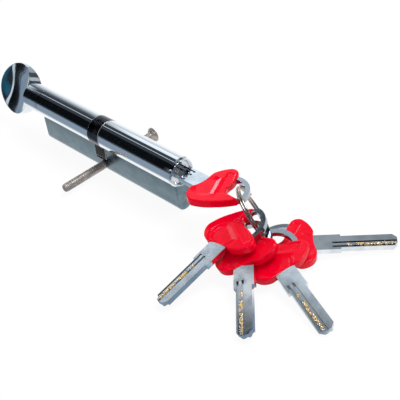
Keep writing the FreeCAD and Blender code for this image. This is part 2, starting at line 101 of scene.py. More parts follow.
# Shader helpers
class Painter:
    # Small wrapper that adds nodes to one tree and joins them
    def __init__(self, tree):
        self.tree = tree
        self.column = 0

    def add(self, kind, **values):
        node = self.tree.nodes.new(kind)
        row = self.column % nodeGrid["rows"]
        node.location = (nodeGrid["start"] + self.column * nodeGrid["step"], -nodeGrid["drop"] * row)
        self.column += 1
        for key, value in values.items():
            setattr(node, key, value)
        return node

    def join(self, source, target):
        self.tree.links.new(source, target)

    def feed(self, value, socket):
        # A number or a colour is set on the socket, and anything else is joined to it
        if isinstance(value, (int, float)):
            socket.default_value = value
        elif isinstance(value, tuple):
            socket.default_value = (*value, 1.0)
        else:
            self.join(value, socket)

    def math(self, operation, *values):
        node = self.add("ShaderNodeMath", operation=operation)
        for value, socket in zip(values, node.inputs):
            self.feed(value, socket)
        return node.outputs[0]

    def band(self, value, low, high, toLow=0.0, toHigh=1.0):
        node = self.add("ShaderNodeMapRange", interpolation_type="SMOOTHSTEP")
        self.join(value, node.inputs["Value"])
        node.inputs["From Min"].default_value = low
        node.inputs["From Max"].default_value = high
        node.inputs["To Min"].default_value = toLow
        node.inputs["To Max"].default_value = toHigh
        return node.outputs["Result"]

    def mixColour(self, factor, first, second):
        # A Mix node's colours are its inputs 6 and 7 and its output 2
        node = self.add("ShaderNodeMix", data_type="RGBA")
        self.join(factor, node.inputs[0])
        self.feed(first, node.inputs[6])
        self.feed(second, node.inputs[7])
        return node.outputs[2]

    def mixShader(self, factor, first, second):
        node = self.add("ShaderNodeMixShader")
        for source, socket in zip((factor, first, second), node.inputs):
            self.join(source, socket)
        return node.outputs[0]

    def axes(self, vector):
        node = self.add("ShaderNodeSeparateXYZ")
        self.join(vector, node.inputs[0])
        return node.outputs

    def mask(self, name):
        return self.add("ShaderNodeAttribute", attribute_name=name).outputs["Fac"]

    def noise(self, vector, scale, detail, roughness=0.5, distortion=0.0):
        node = self.add("ShaderNodeTexNoise")
        self.join(vector, node.inputs["Vector"])
        self.feed(scale, node.inputs["Scale"])
        node.inputs["Detail"].default_value = detail
        node.inputs["Roughness"].default_value = roughness
        node.inputs["Distortion"].default_value = distortion
        return node.outputs["Fac"]

    def stretched(self, vector, scale):
        node = self.add("ShaderNodeMapping")
        self.join(vector, node.inputs["Vector"])
        node.inputs["Scale"].default_value = scale
        return node.outputs["Vector"]


marksLook = {
    "smudgeDetail": 4.0,
    "smudgeDistortion": 0.6,
    "smudgeRange": (0.38, 0.68),
    "scratchDetail": 2.0,
}


def makeMarksGroup(look):
    # Smudges and fine scratches that every handled surface has, in the piece's own coordinates
    tree = bpy.data.node_groups.new("handlingMarks", "ShaderNodeTree")
    for label, kind, value in (
        ("Position", "NodeSocketVector", None),
        ("Smudge Scale", "NodeSocketFloat", 120.0),
        ("Scratch Scale", "NodeSocketFloat", 2500.0),
        ("Smooth", "NodeSocketFloat", 0.08),
        ("Dull", "NodeSocketFloat", 0.2),
    ):
        made = tree.interface.new_socket(label, in_out="INPUT", socket_type=kind)
        if value is not None:
            made.default_value = value
    for label in ("Roughness", "Height", "Smudge"):
        tree.interface.new_socket(label, in_out="OUTPUT", socket_type="NodeSocketFloat")
    painter = Painter(tree)
    entry = painter.add("NodeGroupInput")
    leave = painter.add("NodeGroupOutput")
    position = entry.outputs["Position"]
    smudge = painter.noise(position, entry.outputs["Smudge Scale"], look["smudgeDetail"],
                           distortion=look["smudgeDistortion"])
    spread = painter.band(smudge, *look["smudgeRange"])
    scratch = painter.noise(position, entry.outputs["Scratch Scale"], look["scratchDetail"])
    span = painter.math("SUBTRACT", entry.outputs["Dull"], entry.outputs["Smooth"])
    roughness = painter.math("MULTIPLY_ADD", spread, span, entry.outputs["Smooth"])
    painter.join(roughness, leave.inputs["Roughness"])
    painter.join(scratch, leave.inputs["Height"])
    painter.join(spread, leave.inputs["Smudge"])
    return tree


marksGroup = makeMarksGroup(marksLook)


def startMaterial(name, attribute=None):
    material = bpy.data.materials.new(name)
    material.use_nodes = True
    tree = material.node_tree
    tree.nodes.clear()
    painter = Painter(tree)
    if attribute:
        place = painter.add("ShaderNodeAttribute", attribute_name=attribute)
        position = place.outputs["Vector"]
    else:
        place = painter.add("ShaderNodeTexCoord")
        position = place.outputs["Object"]
    shader = painter.add("ShaderNodeBsdfPrincipled")
    out = painter.add("ShaderNodeOutputMaterial")
    painter.join(shader.outputs[0], out.inputs["Surface"])
    return material, painter, position, shader


def addMarks(painter, position, finish):
    node = painter.add("ShaderNodeGroup", node_tree=marksGroup)
    painter.join(position, node.inputs["Position"])
    node.inputs["Smudge Scale"].default_value = finish["smudgeScale"]
    node.inputs["Scratch Scale"].default_value = finish["scratchScale"]
    node.inputs["Smooth"].default_value = finish["smooth"]
    node.inputs["Dull"].default_value = finish["dull"]
    return node


def addBump(painter, height, shader, strength, depth):
    bump = painter.add("ShaderNodeBump")
    bump.inputs["Strength"].default_value = strength
    bump.inputs["Distance"].default_value = depth
    painter.join(height, bump.inputs["Height"])
    painter.join(bump.outputs["Normal"], shader.inputs["Normal"])


# Metals that differ only in their values
metalBumpDepth = 0.02 * mm
lowShadeFade = 0.5 * mm
# In these finishes the edge colour lightens the bevelled edges: partly worn bare metal, partly a painted
# highlight
metalFinishes = {
    "knobChrome": {"colour": (0.80, 0.84, 0.88), "worn": (0.68, 0.73, 0.78), "smudgeScale": 90.0,
                   "scratchScale": 3000.0, "smooth": 0.03, "dull": 0.09, "bump": 0.02,
                   "edge": (0.93, 0.95, 0.97), "edgeRough": 0.22},
    "plugSteel": {"colour": (0.66, 0.69, 0.73), "worn": (0.48, 0.51, 0.56), "smudgeScale": 260.0,
                  "scratchScale": 5200.0, "smooth": 0.05, "dull": 0.14, "bump": 0.05,
                  "edge": (0.88, 0.90, 0.93), "edgeRough": 0.12},
    "camBlack": {"colour": (0.050, 0.056, 0.070), "worn": (0.095, 0.088, 0.090), "smudgeScale": 180.0,
                 "scratchScale": 4200.0, "smooth": 0.14, "dull": 0.26, "bump": 0.08,
                 "edge": (0.62, 0.62, 0.64), "edgeRough": 0.30,
                 # The low colour paints shade: the cam's lower part and its lobe under the barrel go near
                 # black
                 "lowShadeColour": (0.004, 0.004, 0.005), "lowShadeStart": -7.0 * mm},
    "brassTurned": {"colour": (0.72, 0.52, 0.22), "worn": (0.58, 0.40, 0.16), "smudgeScale": 300.0,
                    "scratchScale": 5000.0, "smooth": 0.16, "dull": 0.34, "bump": 0.10},
    "springSteel": {"colour": (0.46, 0.46, 0.47), "worn": (0.34, 0.34, 0.36), "smudgeScale": 400.0,
                    "scratchScale": 6000.0, "smooth": 0.15, "dull": 0.30, "bump": 0.08},
    "screwSteel": {"colour": (0.50, 0.46, 0.43), "worn": (0.36, 0.32, 0.29), "smudgeScale": 420.0,
                   "scratchScale": 4500.0, "smooth": 0.38, "dull": 0.50, "bump": 0.10, "metallic": 0.6},
    "ringSteel": {"colour": (0.54, 0.48, 0.44), "worn": (0.36, 0.31, 0.28), "smudgeScale": 500.0,
                  "scratchScale": 5200.0, "smooth": 0.12, "dull": 0.30, "bump": 0.10},
}


def makeMetal(name, finish):
    material, painter, position, shader = startMaterial(name)
    marks = addMarks(painter, position, finish)
    colour = painter.mixColour(marks.outputs["Smudge"], finish["colour"], finish["worn"])
    rough = marks.outputs["Roughness"]
    # Painted shade: lower down, past the start height, the colour runs to near black
    if "lowShadeColour" in finish:
        height = painter.axes(position)["Z"]
        low = painter.band(height, finish["lowShadeStart"], finish["lowShadeStart"] - lowShadeFade)
        colour = painter.mixColour(low, colour, finish["lowShadeColour"])
    # Bevelled edges turn lighter: partly worn bare metal, partly a painted highlight
    if "edge" in finish:
        edge = painter.mask("wornEdgeHighlight")
        colour = painter.mixColour(edge, colour, finish["edge"])
        rough = painter.math("MULTIPLY_ADD", edge, finish["edgeRough"], rough)
    painter.join(colour, shader.inputs["Base Color"])
    painter.join(rough, shader.inputs["Roughness"])
    shader.inputs["Metallic"].default_value = finish.get("metallic", 1.0)
    addBump(painter, marks.outputs["Height"], shader, finish["bump"], metalBumpDepth)
    return material


bodyFinish = {
    "chrome": (0.90, 0.93, 0.95),
    "leg": (0.122, 0.180, 0.214),
    "legPale": (0.190, 0.255, 0.295),
    "legRoughness": (0.20, 0.34),
    "legTop": -6.84 * mm,
    "legFade": 0.12 * mm,
    "blotchStretch": (0.7, 1.0, 1.0),
    "blotch": (170.0, 7.0, 0.62),  # scale, detail and roughness of the noise
    "paleRange": (0.36, 0.66),
    "roughRange": (0.35, 0.65),
    "grainStretch": (0.6, 1.0, 1.0),
    "grain": (1500.0, 4.0, 0.6),
    "bump": 0.25,
    "bumpDepth": 0.04 * mm,
    "smudgeScale": 70.0,
    "scratchScale": 2600.0,
    "smooth": 0.012,
    "dull": 0.045,
}


def makeBodyMaterial(finish):
    material, painter, position, shader = startMaterial("bodyChrome")
    marks = addMarks(painter, position, finish)
    onLeg = painter.band(painter.axes(position)["Z"], finish["legTop"], finish["legTop"] - finish["legFade"])
    blotch = painter.noise(painter.stretched(position, finish["blotchStretch"]), *finish["blotch"])
    cloud = painter.band(blotch, *finish["paleRange"])
    satin = painter.mixColour(cloud, finish["leg"], finish["legPale"])
    painter.join(painter.mixColour(onLeg, finish["chrome"], satin), shader.inputs["Base Color"])
    satinRough = painter.band(blotch, *finish["roughRange"], *finish["legRoughness"])
    difference = painter.math("SUBTRACT", satinRough, marks.outputs["Roughness"])
    rough = painter.math("MULTIPLY_ADD", difference, onLeg, marks.outputs["Roughness"])
    painter.join(rough, shader.inputs["Roughness"])
    shader.inputs["Metallic"].default_value = 1.0
    grain = painter.noise(painter.stretched(position, finish["grainStretch"]), *finish["grain"])
    height = painter.math("MULTIPLY", grain, onLeg)
    addBump(painter, height, shader, finish["bump"], finish["bumpDepth"])
    return material


keyFinish = {
    "steel": (0.80, 0.84, 0.88),
    "steelWorn": (0.64, 0.69, 0.74),
    # The edge colour lightens the blade's bevelled edges: partly worn bare steel, partly a painted highlight
    "edge": (0.97, 0.98, 0.99),
    "loop": (0.40, 0.44, 0.49),
    "edgeRough": 0.15,
    "loopStart": 12.0,
    "loopFade": 1.5,
    "brass": (0.90, 0.58, 0.17),
    "ridge": (0.95, 2.75),
    "ridgeFade": 0.1,
    "ridgeEnds": (-38.6, -14.5),
    "endFade": 0.2,
    "spotSize": 0.85,
    "spotStretch": (1.0, 1.0, 0.25),
    "spotRange": (0.56, 0.44),
    "brassDulling": -0.6,
    "brushStretch": (0.25, 6.0, 6.0),
    "brush": (5.0, 3.0, 0.6),
    "brushShare": 0.12,
    "bump": 0.4,
    "bumpDepth": 0.09 * mm,
    "smudgeScale": 0.12,
    "scratchScale": 4.0,
    "smooth": 0.06,
    "dull": 0.12,
}


def makeKeySteel(finish):
    # The pattern follows the key, so it reads the place on the key in mm from an attribute
    material, painter, position, shader = startMaterial("keySteel", "keySpace")
    marks = addMarks(painter, position, finish)
    place = painter.axes(position)
    x, y = place["X"], place["Y"]
    low, high = finish["ridge"]
    side = finish["ridgeFade"]
    across = painter.math("MULTIPLY", painter.band(y, low, low + side), painter.band(y, high, high - side))
    tip, root = finish["ridgeEnds"]
    end = finish["endFade"]
    along = painter.math("MULTIPLY", painter.band(x, tip, tip + end), painter.band(x, root, root - end))
    onRidge = painter.math("MULTIPLY", across, along)
    cells = painter.add("ShaderNodeTexVoronoi", feature="F1")
    painter.join(painter.stretched(position, finish["spotStretch"]), cells.inputs["Vector"])
    cells.inputs["Scale"].default_value = finish["spotSize"]
    spot = painter.band(cells.outputs["Distance"], *finish["spotRange"])
    brassy = painter.math("MULTIPLY", spot, onRidge)
    steel = painter.mixColour(marks.outputs["Smudge"], finish["steel"], finish["steelWorn"])
    edge = painter.mask("wornEdgeHighlight")
    onLoop = painter.band(x, finish["loopStart"], finish["loopStart"] + finish["loopFade"])
    steel = painter.mixColour(onLoop, steel, finish["loop"])
    # Bevelled edges turn near white: partly worn bare steel, partly a painted highlight
    steel = painter.mixColour(edge, steel, finish["edge"])
    painter.join(painter.mixColour(brassy, steel, finish["brass"]), shader.inputs["Base Color"])
    rough = painter.math("MULTIPLY_ADD", edge, finish["edgeRough"], marks.outputs["Roughness"])
    painter.join(rough, shader.inputs["Roughness"])
    metallic = painter.math("MULTIPLY_ADD", brassy, finish["brassDulling"], 1.0)
    painter.join(metallic, shader.inputs["Metallic"])
    brushed = painter.noise(painter.stretched(position, finish["brushStretch"]), *finish["brush"])
    height = painter.math("SUBTRACT", painter.math("MULTIPLY", brushed, finish["brushShare"]), brassy)
    addBump(painter, height, shader, finish["bump"], finish["bumpDepth"])
    return material


bowFinish = {
    "red": (0.80, 0.0, 0.020),
    "deepRed": (0.72, 0.0, 0.014),
    "smudgeScale": 0.25,
    "scratchScale": 2.5,
    "smooth": 0.10,
    "dull": 0.17,
    "shine": 0.20,
    "labelGrain": (5.5, 2.0, 0.5),
    "peelShare": 0.04,
    "bump": 0.35,
    "bumpDepth": 0.12 * mm,
}


def makeBowPlastic(finish):
    material, painter, position, shader = startMaterial("bowPlastic", "keySpace")
    marks = addMarks(painter, position, finish)
    colour = painter.mixColour(marks.outputs["Smudge"], finish["red"], finish["deepRed"])
    painter.join(colour, shader.inputs["Base Color"])
    painter.join(marks.outputs["Roughness"], shader.inputs["Roughness"])
    shader.inputs["Specular IOR Level"].default_value = finish["shine"]
    label = painter.mask("labelZone")
    grain = painter.math("MULTIPLY", painter.noise(position, *finish["labelGrain"]), label)
    peel = painter.math("MULTIPLY", marks.outputs["Height"], finish["peelShare"])
    addBump(painter, painter.math("ADD", grain, peel), shader, finish["bump"], finish["bumpDepth"])
    return material


materials = {name: makeMetal(name, finish) for name, finish in metalFinishes.items()}
materials["bodyChrome"] = makeBodyMaterial(bodyFinish)
materials["keySteel"] = makeKeySteel(keyFinish)
materials["bowPlastic"] = makeBowPlastic(bowFinish)
print("materials made:", len(materials))


def finishPiece(piece, materialName, body, nodes):
    piece.data.materials.clear()
    piece.data.materials.append(materials[materialName])
    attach(piece, body)
    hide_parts(*nodes)


def newPiece(name, mesh):
    piece = bpy.data.objects.new(name, mesh)
    bpy.context.scene.collection.objects.link(piece)
    return piece


def bakeModifiers(piece):
    bpy.context.view_layer.update()
    evaluated = piece.evaluated_get(bpy.context.evaluated_depsgraph_get())
    mesh = bpy.data.meshes.new_from_object(evaluated)
    piece.modifiers.clear()
    piece.data = mesh
    return mesh


def smoothAll(mesh):
    for polygon in mesh.polygons:
        polygon.use_smooth = True


def smoothByAngle(mesh, degrees):
    smoothAll(mesh)
    mesh.set_sharp_from_angle(angle=math.radians(degrees))


# Triangles nearer to flat than this, in degrees, become one face again
copySetup = {"merge": 0.002 * mm, "flat": 0.4}


def nodeCopy(node, name):
    # The CAD node's triangles, merged into whole faces, in a mesh of their own
    work = bmesh.new()
    work.from_mesh(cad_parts[node].data)
    bmesh.ops.remove_doubles(work, verts=work.verts, dist=copySetup["merge"])
    bmesh.ops.dissolve_limit(work, angle_limit=math.radians(copySetup["flat"]), verts=work.verts,
                             edges=work.edges, delimit={"NORMAL"})
    mesh = bpy.data.meshes.new(name)
    work.to_mesh(mesh)
    work.free()
    return newPiece(name, mesh)


def markEdges(mesh):
    # The bevel gives its faces index 1, which becomes a mask of the bevelled edges here; materials paint
    # them lighter, partly as worn bare metal and partly as a painted highlight
    worn = mesh.attributes.new("wornEdgeHighlight", "FLOAT", "FACE")
    for polygon, item in zip(mesh.polygons, worn.data):
        item.value = float(polygon.material_index == 1)
        polygon.material_index = 0


# Edges sharper than bevelAngle are broken, and those past sharpAngle stay crisp, in degrees
edgeSetup = {"segments": 2, "bevelAngle": 38.0, "sharpAngle": 50.0}


def breakEdges(piece, width):
    bevel = piece.modifiers.new("brokenEdges", "BEVEL")
    bevel.width = width * mm
    bevel.segments = edgeSetup["segments"]
    bevel.limit_method = "ANGLE"
    bevel.angle_limit = math.radians(edgeSetup["bevelAngle"])
    bevel.use_clamp_overlap = True
    bevel.material = 1
    while len(piece.data.materials) < 2:
        piece.data.materials.append(None)
    bakeModifiers(piece)
    markEdges(piece.data)
    smoothByAngle(piece.data, edgeSetup["sharpAngle"])
    weigh = piece.modifiers.new("evenNormals", "WEIGHTED_NORMAL")
    weigh.mode = "FACE_AREA"
    weigh.keep_sharp = True
    bakeModifiers(piece)


# Lock pieces that keep their CAD shape and get broken edges
lockPieces = {
    "bodyShell": {"node": "cylinder_body", "body": "lock_body", "material": "bodyChrome", "edge": 0.18},
    "plugWithHead": {"node": "key_plug", "body": "plug", "material": "plugSteel", "edge": 0.10},
    "camRing": {"node": "cam", "body": "cam_unit", "material": "camBlack", "edge": 0.28},
    "knobCast": {"node": "thumbturn_knob", "body": "thumbturn", "material": "knobChrome", "edge": 0.35},
}

# The knob's scoops are dished a little across as well, as the cast one's are
knobDish = {
    "centreX": -86.4,
    "radius": 12.6,
    "half": 15.8,
    "turn": -28.7,
    "depth": 0.5,
    "cuts": 24,
    "cutReach": 0.0001 * mm,
    "faceLimit": 0.8,
}


def dishKnob(piece, facts):
    turn = Matrix.Rotation(math.radians(facts["turn"]), 4, "X")
    across = turn @ Vector((0, 0, 1))
    outward = turn @ Vector((0, 1, 0))
    centre = Vector((facts["centreX"], 0, 0)) * mm
    work = bmesh.new()
    work.from_mesh(piece.data)
    for index in range(1, facts["cuts"]):
        place = centre + across * facts["half"] * (2 * index / facts["cuts"] - 1) * mm
        geometry = work.verts[:] + work.edges[:] + work.faces[:]
        bmesh.ops.bisect_plane(work, geom=geometry, plane_co=place, plane_no=across, dist=facts["cutReach"])
    work.normal_update()
    moves = []
    for vertex in work.verts:
        local = turn.inverted() @ (vertex.co - centre)
        reach = math.hypot(local.x, local.z) / (facts["radius"] * mm)
        slopes = [face.normal.dot(outward) for face in vertex.link_faces]
        if reach < 1 and min(abs(slope) for slope in slopes) > facts["faceLimit"]:
            sign = 1 if slopes[0] > 0 else -1
            moves.append((vertex, -outward * sign * facts["depth"] * (1 - reach ** 2) ** 2 * mm))
    for vertex, move in moves:
        vertex.co += move
    work.to_mesh(piece.data)
    work.free()
    print("knob dished at", len(moves), "points")


for name, facts in lockPieces.items():
    piece = nodeCopy(facts["node"], name)
    if name == "knobCast":
        dishKnob(piece, knobDish)
    breakEdges(piece, facts["edge"])
    finishPiece(piece, facts["material"], facts["body"], [facts["node"]])
print("lock pieces dressed")


# Wire that winds: springs and the split ring come from one tree
def makeCoilTree():
    tree = bpy.data.node_groups.new("woundWire", "GeometryNodeTree")
    interface = tree.interface
    interface.new_socket("Geometry", in_out="INPUT", socket_type="NodeSocketGeometry")
    for label, value in (("Turns", 6.0), ("Radius", 0.001), ("Height", 0.005), ("Wire Radius", 0.0002)):
        made = interface.new_socket(label, in_out="INPUT", socket_type="NodeSocketFloat")
        made.default_value = value
    for label, value in (("Steps", 24), ("Sides", 12)):
        made = interface.new_socket(label, in_out="INPUT", socket_type="NodeSocketInt")
        made.default_value = value
    interface.new_socket("Material", in_out="INPUT", socket_type="NodeSocketMaterial")
    interface.new_socket("Geometry", in_out="OUTPUT", socket_type="NodeSocketGeometry")
    nodes, links = tree.nodes, tree.links
    entry = nodes.new("NodeGroupInput")
    spiral = nodes.new("GeometryNodeCurveSpiral")
    links.new(entry.outputs["Steps"], spiral.inputs["Resolution"])
    links.new(entry.outputs["Turns"], spiral.inputs["Rotations"])
    links.new(entry.outputs["Radius"], spiral.inputs["Start Radius"])
    links.new(entry.outputs["Radius"], spiral.inputs["End Radius"])
    links.new(entry.outputs["Height"], spiral.inputs["Height"])
    section = nodes.new("GeometryNodeCurvePrimitiveCircle")
    links.new(entry.outputs["Sides"], section.inputs["Resolution"])
    links.new(entry.outputs["Wire Radius"], section.inputs["Radius"])
    sweep = nodes.new("GeometryNodeCurveToMesh")
    sweep.inputs["Fill Caps"].default_value = True
    links.new(spiral.outputs["Curve"], sweep.inputs["Curve"])
    links.new(section.outputs["Curve"], sweep.inputs["Profile Curve"])
    smooth = nodes.new("GeometryNodeSetShadeSmooth")
    links.new(sweep.outputs["Mesh"], smooth.inputs["Geometry"])
    realize = nodes.new("GeometryNodeRealizeInstances")
    links.new(smooth.outputs["Geometry"], realize.inputs["Geometry"])
    paint = nodes.new("GeometryNodeSetMaterial")
    links.new(realize.outputs["Geometry"], paint.inputs["Geometry"])
    links.new(entry.outputs["Material"], paint.inputs["Material"])
    leave = nodes.new("NodeGroupOutput")
    links.new(paint.outputs["Geometry"], leave.inputs["Geometry"])
    return tree


coilTree = makeCoilTree()


def setInput(modifier, label, value):
    for item in modifier.node_group.interface.items_tree:
        if item.item_type == "SOCKET" and item.in_out == "INPUT" and item.name == label:
            modifier[item.identifier] = value


def windWire(name, values, materialName, place):
    piece = newPiece(name, bpy.data.meshes.new(name))
    modifier = piece.modifiers.new("woundWire", "NODES")
    modifier.node_group = coilTree
    for label, value in values.items():
        setInput(modifier, label, value)
    setInput(modifier, "Material", materials[materialName])
    mesh = bakeModifiers(piece)
    mesh.transform(place)
    return piece


def joinPieces(pieces, name):
    work = bmesh.new()
    for piece in pieces:
        work.from_mesh(piece.data)
        bpy.data.objects.remove(piece)
    mesh = bpy.data.meshes.new(name)
    work.to_mesh(mesh)
    work.free()
    smoothAll(mesh)
    return newPiece(name, mesh)


# Split ring through the keys' loops
splitRing = {
    "centre": (112.72, 5.11, -8.18),
    "normal": (-0.524, -0.726, -0.444),
    "radius": 15.43,
    "wire": 0.6,
    "pitch": 1.3,
    "turns": 2.0,
    "steps": 96,
    "sides": 20,
}


def ringMatrix(facts):
    normal = Vector(facts["normal"]).normalized()
    level = normal.cross(Vector((0, 0, 1))).normalized()
    steep = normal.cross(level)
    turn = Matrix((level, steep, normal)).transposed().to_4x4()
    lift = Matrix.Translation((0, 0, -facts["pitch"] * facts["turns"] / 2 * mm))
    return Matrix.Translation(Vector(facts["centre"]) * mm) @ turn @ lift


ringWire = windWire("splitRingWire", {
    "Turns": splitRing["turns"],
    "Radius": splitRing["radius"] * mm,
    "Height": splitRing["pitch"] * splitRing["turns"] * mm,
    "Wire Radius": splitRing["wire"] * mm,
    "Steps": splitRing["steps"],
    "Sides": splitRing["sides"],
}, "ringSteel", ringMatrix(splitRing))
finishPiece(ringWire, "ringSteel", "ring", ["split_ring"])

# Springs under the driver pins, and the one behind the coupler
springs = {
    "wire": 0.19,
    "turnsPerMm": 1.15,
    "fewestTurns": 3.0,
    "pinRadius": 1.35,
    "couplerRadius": 1.9,
    "steps": 16,
    "sides": 6,
}


def springBetween(low, high, radius, along, middle, name):
    wire = springs["wire"] * mm
    height = high - low - 2 * wire
    start = Vector(middle) + Vector(along) * (low + wire)
    turn = Vector((0, 0, 1)).rotation_difference(Vector(along)).to_matrix().to_4x4()
    return windWire(name, {
        "Turns": max(springs["fewestTurns"], height / mm * springs["turnsPerMm"]),
        "Radius": radius * mm - wire,
        "Height": height,
        "Wire Radius": wire,
        "Steps": springs["steps"],
        "Sides": springs["sides"],
    }, "springSteel", Matrix.Translation(start) @ turn)


pinSprings = []
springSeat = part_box("chamber_plugs")[1].z
for index in range(1, 6):
    low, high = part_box("driver_pin_%d" % index)
    middle = ((low.x + high.x) / 2, (low.y + high.y) / 2, 0.0)
    pinSprings.append(springBetween(springSeat, low.z, springs["pinRadius"], (0, 0, 1), middle,
                                    "pinSpring%d" % index))
pinSpringSet = joinPieces(pinSprings, "pinSpringCoils")
finishPiece(pinSpringSet, "springSteel", "lock_body", ["pin_springs"])
low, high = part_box("coupler_spring")
couplerCoil = springBetween(low.x, high.x, springs["couplerRadius"], (1, 0, 0), (0, 0, 0),
                            "couplerSpringCoil")
finishPiece(couplerCoil, "springSteel", "cam_unit", ["coupler_spring"])
print("springs and ring wound")

# Fixing screw: the CAD shank thinned to the thread's root, with a ridge wound round it
screwFacts = {
    "radius": 2.5,
    "root": 2.28,
    "pitch": 0.8,
    "ridge": 0.36,
    "tipEnd": -33.3,
    "neck": 31.3,
    "z": -20.0,
    "reach": 0.2,
    "runOut": 0.6,
    "edge": 0.08,
    "sharpAngle": 40.0,
    "steps": 24,
    "sides": 10,
}


def makeScrew(facts):
    core = nodeCopy("fixing_screw", "fixingScrew")
    for vertex in core.data.vertices:
        y, z = vertex.co.y / mm, vertex.co.z / mm - facts["z"]
        radius = math.hypot(vertex.co.x / mm, z)
        onShank = facts["tipEnd"] - facts["reach"] < y < facts["neck"] + facts["reach"]
        if onShank and radius > facts["root"]:
            shrink = facts["root"] / radius
            vertex.co.x *= shrink
            vertex.co.z = (facts["z"] + z * shrink) * mm
    breakEdges(core, facts["edge"])
    length = facts["neck"] - facts["tipEnd"] - facts["runOut"]
    turn = Matrix.Rotation(math.radians(-90), 4, "X")
    place = Matrix.Translation((0, (facts["tipEnd"] + facts["reach"]) * mm, facts["z"] * mm)) @ turn
    ridge = windWire("threadRidge", {
        "Turns": length / facts["pitch"],
        "Radius": (facts["radius"] - facts["ridge"]) * mm,
        "Height": length * mm,
        "Wire Radius": facts["ridge"] * mm,
        "Steps": facts["steps"],
        "Sides": facts["sides"],
    }, "screwSteel", place)
    return joinPieces([core, ridge], "fixingScrewThreaded")


screw = makeScrew(screwFacts)
smoothByAngle(screw.data, screwFacts["sharpAngle"])
finishPiece(screw, "screwSteel", "lock_body", ["fixing_screw"])
print("screw threaded")

# Key bows: outline as arcs through three points each, in mm from the key's origin
bowShape = {
    "arcs": [
        ((0.4, 4.9), (2.0, 12.2), (8.0, 15.0)),
        ((8.0, 15.0), (14.0, 12.4), (18.9, 8.7)),
        ((18.9, 8.7), (23.4, 4.7), (27.0, 0.2)),
        ((19.4, 0.0), (16.9, -2.1), (15.8, -6.4)),
        ((15.8, -6.4), (14.6, -11.0), (12.7, -15.0)),
        ((12.7, -15.0), (9.8, -17.3), (6.8, -17.0)),
        ((6.8, -17.0), (3.5, -13.2), (1.3, -8.0)),
        ((1.3, -8.0), (1.6, -1.5), (0.4, 4.9)),
    ],
    "arcSteps": 14,
    "noseArc": 2,
    "thickness": 4.4,
    "edgeRound": 0.7,
    "edgeSegments": 4,
    "edgeAngle": 60.0,
    "voxel": 0.22,
    "softening": (0.5, 8),  # factor and passes
    "faceDepth": (0.9, 0.8),  # where the face's relief starts below the top, and how fast it grows
    "ridgeTop": (15.6, 7.0),
    "ridgeFoot": (7.6, -9.2),
    "ridgeLift": 0.24,
    "ridgeWidth": 0.6,
    "ridgeReach": (1.15, 5.0),
    "dishCentre": (6.6, 1.6),
    "dishRadii": (8.4, 9.4),
    "dishDepth": 0.56,
    "dishRim": 3.2,
    "dishFromRidge": (0.5, 2.6),
    "labelDepth": 0.30,
    "labelSides": (1.2, 6.0),
    "labelSlant": 0.10,
    "labelEnds": (-3.6, 14.6),
    "labelEdge": 0.5,
}


def arcThrough(first, middle, last, count):
    a, b, c = (Vector(p) for p in (first, middle, last))
    d = 2 * (a.x * (b.y - c.y) + b.x * (c.y - a.y) + c.x * (a.y - b.y))
    ux = a.length_squared * (b.y - c.y) + b.length_squared * (c.y - a.y) + c.length_squared * (a.y - b.y)
    uy = a.length_squared * (c.x - b.x) + b.length_squared * (a.x - c.x) + c.length_squared * (b.x - a.x)
    centre = Vector((ux / d, uy / d))
    start = math.atan2(a.y - centre.y, a.x - centre.x)
    via = math.atan2(b.y - centre.y, b.x - centre.x)
    end = math.atan2(c.y - centre.y, c.x - centre.x)
    sweep = (end - start) % math.tau
    if (via - start) % math.tau > sweep:
        sweep -= math.tau
    radius = (a - centre).length
    angles = [start + sweep * i / count for i in range(count)]
    return [(centre.x + radius * math.cos(t), centre.y + radius * math.sin(t)) for t in angles]


def bowOutline(shape):
    points = []
    for index, arc in enumerate(shape["arcs"]):
        points += arcThrough(*arc, shape["arcSteps"])
        if index == shape["noseArc"]:
            points.append(arc[2])
    return points


def ease(share):
    return share * share * (3 - 2 * share)


def bowHeights(co, shape):
    # How far each point of the top face sinks or rises, with the strength of the label zone
    x, y = co[:, 0], co[:, 1]
    top, foot = np.array(shape["ridgeTop"]), np.array(shape["ridgeFoot"])
    along = (top - foot) / np.linalg.norm(top - foot)
    side = (x - foot[0]) * along[1] - (y - foot[1]) * along[0]
    centre, radii = shape["dishCentre"], shape["dishRadii"]
    reach = np.hypot((x - centre[0]) / radii[0], (y - centre[1]) / radii[1])
    gap, slope = shape["dishFromRidge"]
    inside = np.clip((1 - reach) * radii[0] / shape["dishRim"], 0, 1)
    beside = np.clip((-side - gap) / slope, 0, 1)
    bowl = ease(np.minimum(inside, beside))
    end, fade = shape["ridgeReach"]
    nearRidge = np.exp(-(side / shape["ridgeWidth"]) ** 2) * np.clip((end - reach) * fade, 0, 1)
    span = (x - foot[0]) * along[0] + (y - foot[1]) * along[1]
    near, far = shape["labelSides"]
    first, last = shape["labelEnds"]
    margins = (side - near, far + span * shape["labelSlant"] - side, span - first, last - span)
    label = np.clip(np.minimum.reduce(margins) / shape["labelEdge"], 0, 1)
    sink = -shape["dishDepth"] * bowl + shape["ridgeLift"] * nearRidge - shape["labelDepth"] * label
    return sink, label


